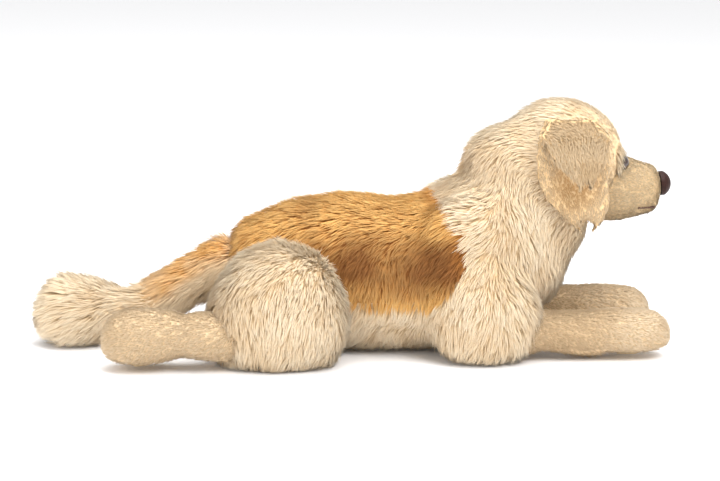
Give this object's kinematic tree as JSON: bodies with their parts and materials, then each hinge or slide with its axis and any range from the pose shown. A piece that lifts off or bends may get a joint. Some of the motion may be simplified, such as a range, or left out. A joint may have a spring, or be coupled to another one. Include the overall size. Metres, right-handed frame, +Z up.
{
  "type": "plush dog",
  "caption": "Soft plush dog lying stretched out, cream long pile with a golden saddle, folded floppy ears and a moulded nose.",
  "frame": {"origin": "middle of the length and width, on the floor plane", "axes": "+X towards the nose, +Y to the dog's left, +Z up"},
  "size_m": [0.6162, 0.2786, 0.247],
  "materials": {
    "cream_long_pile": "matte",
    "gold_long_pile": "matte",
    "beige_short_pile": "matte",
    "filling": "matte",
    "pouch_cloth": "matte",
    "pellets": "satin",
    "nose": "gloss",
    "eye": "gloss",
    "washer": "satin",
    "thread": "matte"
  },
  "bodies": {
    "torso": {"saddle_skin": "gold_long_pile", "chest_skin": "cream_long_pile", "belly_panel": "cream_long_pile", "torso_stuffing": "filling", "pellet_pouch": "pouch_cloth", "pellets": "pellets", "neck_skin": "cream_long_pile", "elbow_skin_left": "cream_long_pile", "elbow_skin_right": "cream_long_pile", "elbow_stuffing_left": "filling", "elbow_stuffing_right": "filling", "haunch_skin_left": "cream_long_pile", "haunch_skin_right": "cream_long_pile", "haunch_stuffing_left": "filling", "haunch_stuffing_right": "filling"},
    "neck": {"neck_stuffing": "filling"},
    "head": {"head_skin": "cream_long_pile", "head_stuffing": "filling", "muzzle_skin": "beige_short_pile", "chin_panel": "beige_short_pile", "muzzle_stuffing": "filling", "nose": "nose", "nose_washer": "washer", "mouth_stitch": "thread", "eye_left": "eye", "eye_right": "eye", "eye_washer_left": "washer", "eye_washer_right": "washer"},
    "ear_left": {"ear_flap_left": "cream_long_pile", "ear_lobe_left": "beige_short_pile"},
    "ear_right": {"ear_flap_right": "cream_long_pile", "ear_lobe_right": "beige_short_pile"},
    "foreleg_left": {"forearm_skin_left": "beige_short_pile", "forearm_stuffing_left": "filling", "paw_sole_left": "beige_short_pile"},
    "foreleg_right": {"forearm_skin_right": "beige_short_pile", "forearm_stuffing_right": "filling", "paw_sole_right": "beige_short_pile"},
    "hind_foot_left": {"hind_foot_skin_left": "beige_short_pile", "hind_foot_stuffing_left": "filling", "hind_sole_left": "beige_short_pile"},
    "hind_foot_right": {"hind_foot_skin_right": "beige_short_pile", "hind_foot_stuffing_right": "filling", "hind_sole_right": "beige_short_pile"},
    "tail_root": {"tail_root_skin": "gold_long_pile", "tail_root_stuffing": "filling"},
    "tail_tip": {"tail_tip_skin": "cream_long_pile", "tail_tip_stuffing": "filling"}
  },
  "joints": [
    {"name": "head_nod", "type": "hinge", "parent": "torso", "child": "neck", "pos_m": [0.20111, 0, 0.187], "axis": [0, 1, 0], "range_deg": [-15, 15], "deforming": ["neck_skin"]},
    {"name": "head_turn", "type": "hinge", "parent": "neck", "child": "head", "pos_m": [0.20111, 0, 0.187], "axis": [0, 0, 1], "range_deg": [-25, 25]},
    {"name": "ear_left_flip", "type": "hinge", "parent": "head", "child": "ear_left", "pos_m": [0.20111, 0.04644, 0.23215], "axis": [1, 0, 0], "range_deg": [0, 80]},
    {"name": "ear_right_flip", "type": "hinge", "parent": "head", "child": "ear_right", "pos_m": [0.20111, -0.04644, 0.23215], "axis": [-1, 0, 0], "range_deg": [0, 80]},
    {"name": "foreleg_left_swing", "type": "hinge", "parent": "torso", "child": "foreleg_left", "pos_m": [0.15712, 0.063, 0.028], "axis": [0, 0, 1], "range_deg": [-6, 28]},
    {"name": "foreleg_right_swing", "type": "hinge", "parent": "torso", "child": "foreleg_right", "pos_m": [0.15712, -0.063, 0.028], "axis": [0, 0, -1], "range_deg": [-6, 28]},
    {"name": "hind_foot_left_swing", "type": "hinge", "parent": "torso", "child": "hind_foot_left", "pos_m": [-0.02988, 0.103, 0.029], "axis": [0, 0, 1], "range_deg": [0, 28]},
    {"name": "hind_foot_right_swing", "type": "hinge", "parent": "torso", "child": "hind_foot_right", "pos_m": [-0.13489, -0.103, 0.029], "axis": [0, 0, 1], "range_deg": [0, 28]},
    {"name": "tail_wag", "type": "hinge", "parent": "torso", "child": "tail_root", "pos_m": [-0.12888, 0, 0.084], "axis": [0, 0, 1], "range_deg": [-28, 13]},
    {"name": "tail_lift", "type": "hinge", "parent": "tail_root", "child": "tail_tip", "pos_m": [-0.20411, 0, 0.03834], "axis": [0, 1, 0], "range_deg": [0, 30]}
  ]
}
